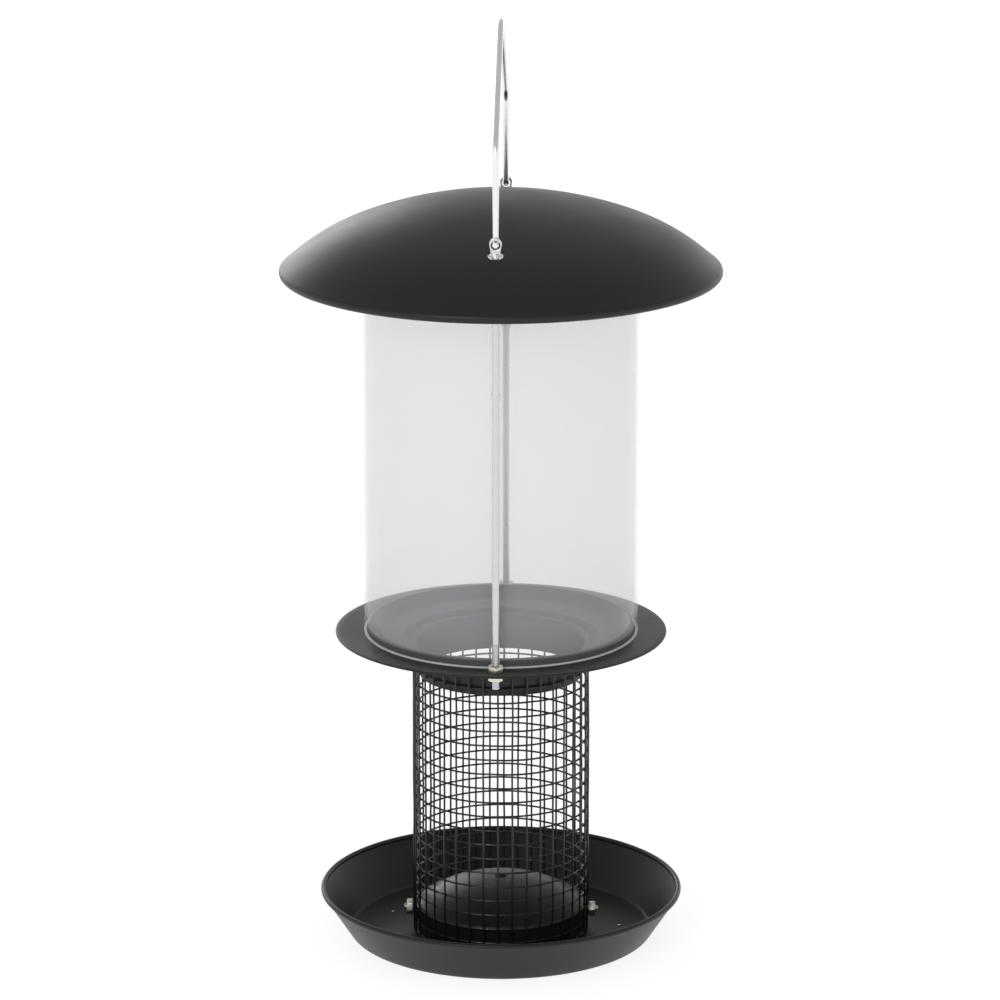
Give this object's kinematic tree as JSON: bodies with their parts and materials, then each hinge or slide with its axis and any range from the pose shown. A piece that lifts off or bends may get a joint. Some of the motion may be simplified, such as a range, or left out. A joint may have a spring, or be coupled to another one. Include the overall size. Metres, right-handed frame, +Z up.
{
  "type": "hanging bird feeder",
  "caption": "Hanging bird feeder: clear seed tube under a domed roof, seed tray, wire mesh cylinder, catch tray and a wire bail; the roof lifts up the bail for filling.",
  "frame": {"origin": "centre of the catch tray's foot, where the feeder stands when it is set down", "axes": "+Z up along the feeder's axis; the tie rods stand on the Y axis with the front one at -Y; the tray screws lie on the X axis"},
  "size_m": [0.22, 0.22, 0.471],
  "materials": {
    "black_coat": "satin black powder coat",
    "mesh_coat": "semi-gloss black coat over wire",
    "zinc": "satin bright zinc plating",
    "bail_wire": "bright drawn and plated wire",
    "clear_plastic": "clear gloss"
  },
  "bodies": {
    "feeder": {"base_tray": "black_coat", "mesh_uprights": "mesh_coat", "mesh_hoops": "mesh_coat", "seed_tray": "black_coat", "hopper_tube": "clear_plastic", "front_rod": "zinc", "rear_rod": "zinc", "front_upper_nut": "zinc", "front_lower_nut": "zinc", "rear_upper_nut": "zinc", "rear_lower_nut": "zinc", "left_tray_screw": "zinc", "right_tray_screw": "zinc", "left_tray_nut": "zinc", "right_tray_nut": "zinc"},
    "roof": {"roof_dome": "black_coat"},
    "bail": {"bail": "bail_wire"}
  },
  "joints": [
    {"name": "roof_lift", "type": "slide", "parent": "feeder", "child": "roof", "axis": [0, 0, 1], "range_m": [0, 0.042]},
    {"name": "bail_swing", "type": "hinge", "parent": "feeder", "child": "bail", "pos_m": [0, 0, 0.3739], "axis": [0, 1, 0], "range_deg": [-92, 92]}
  ]
}
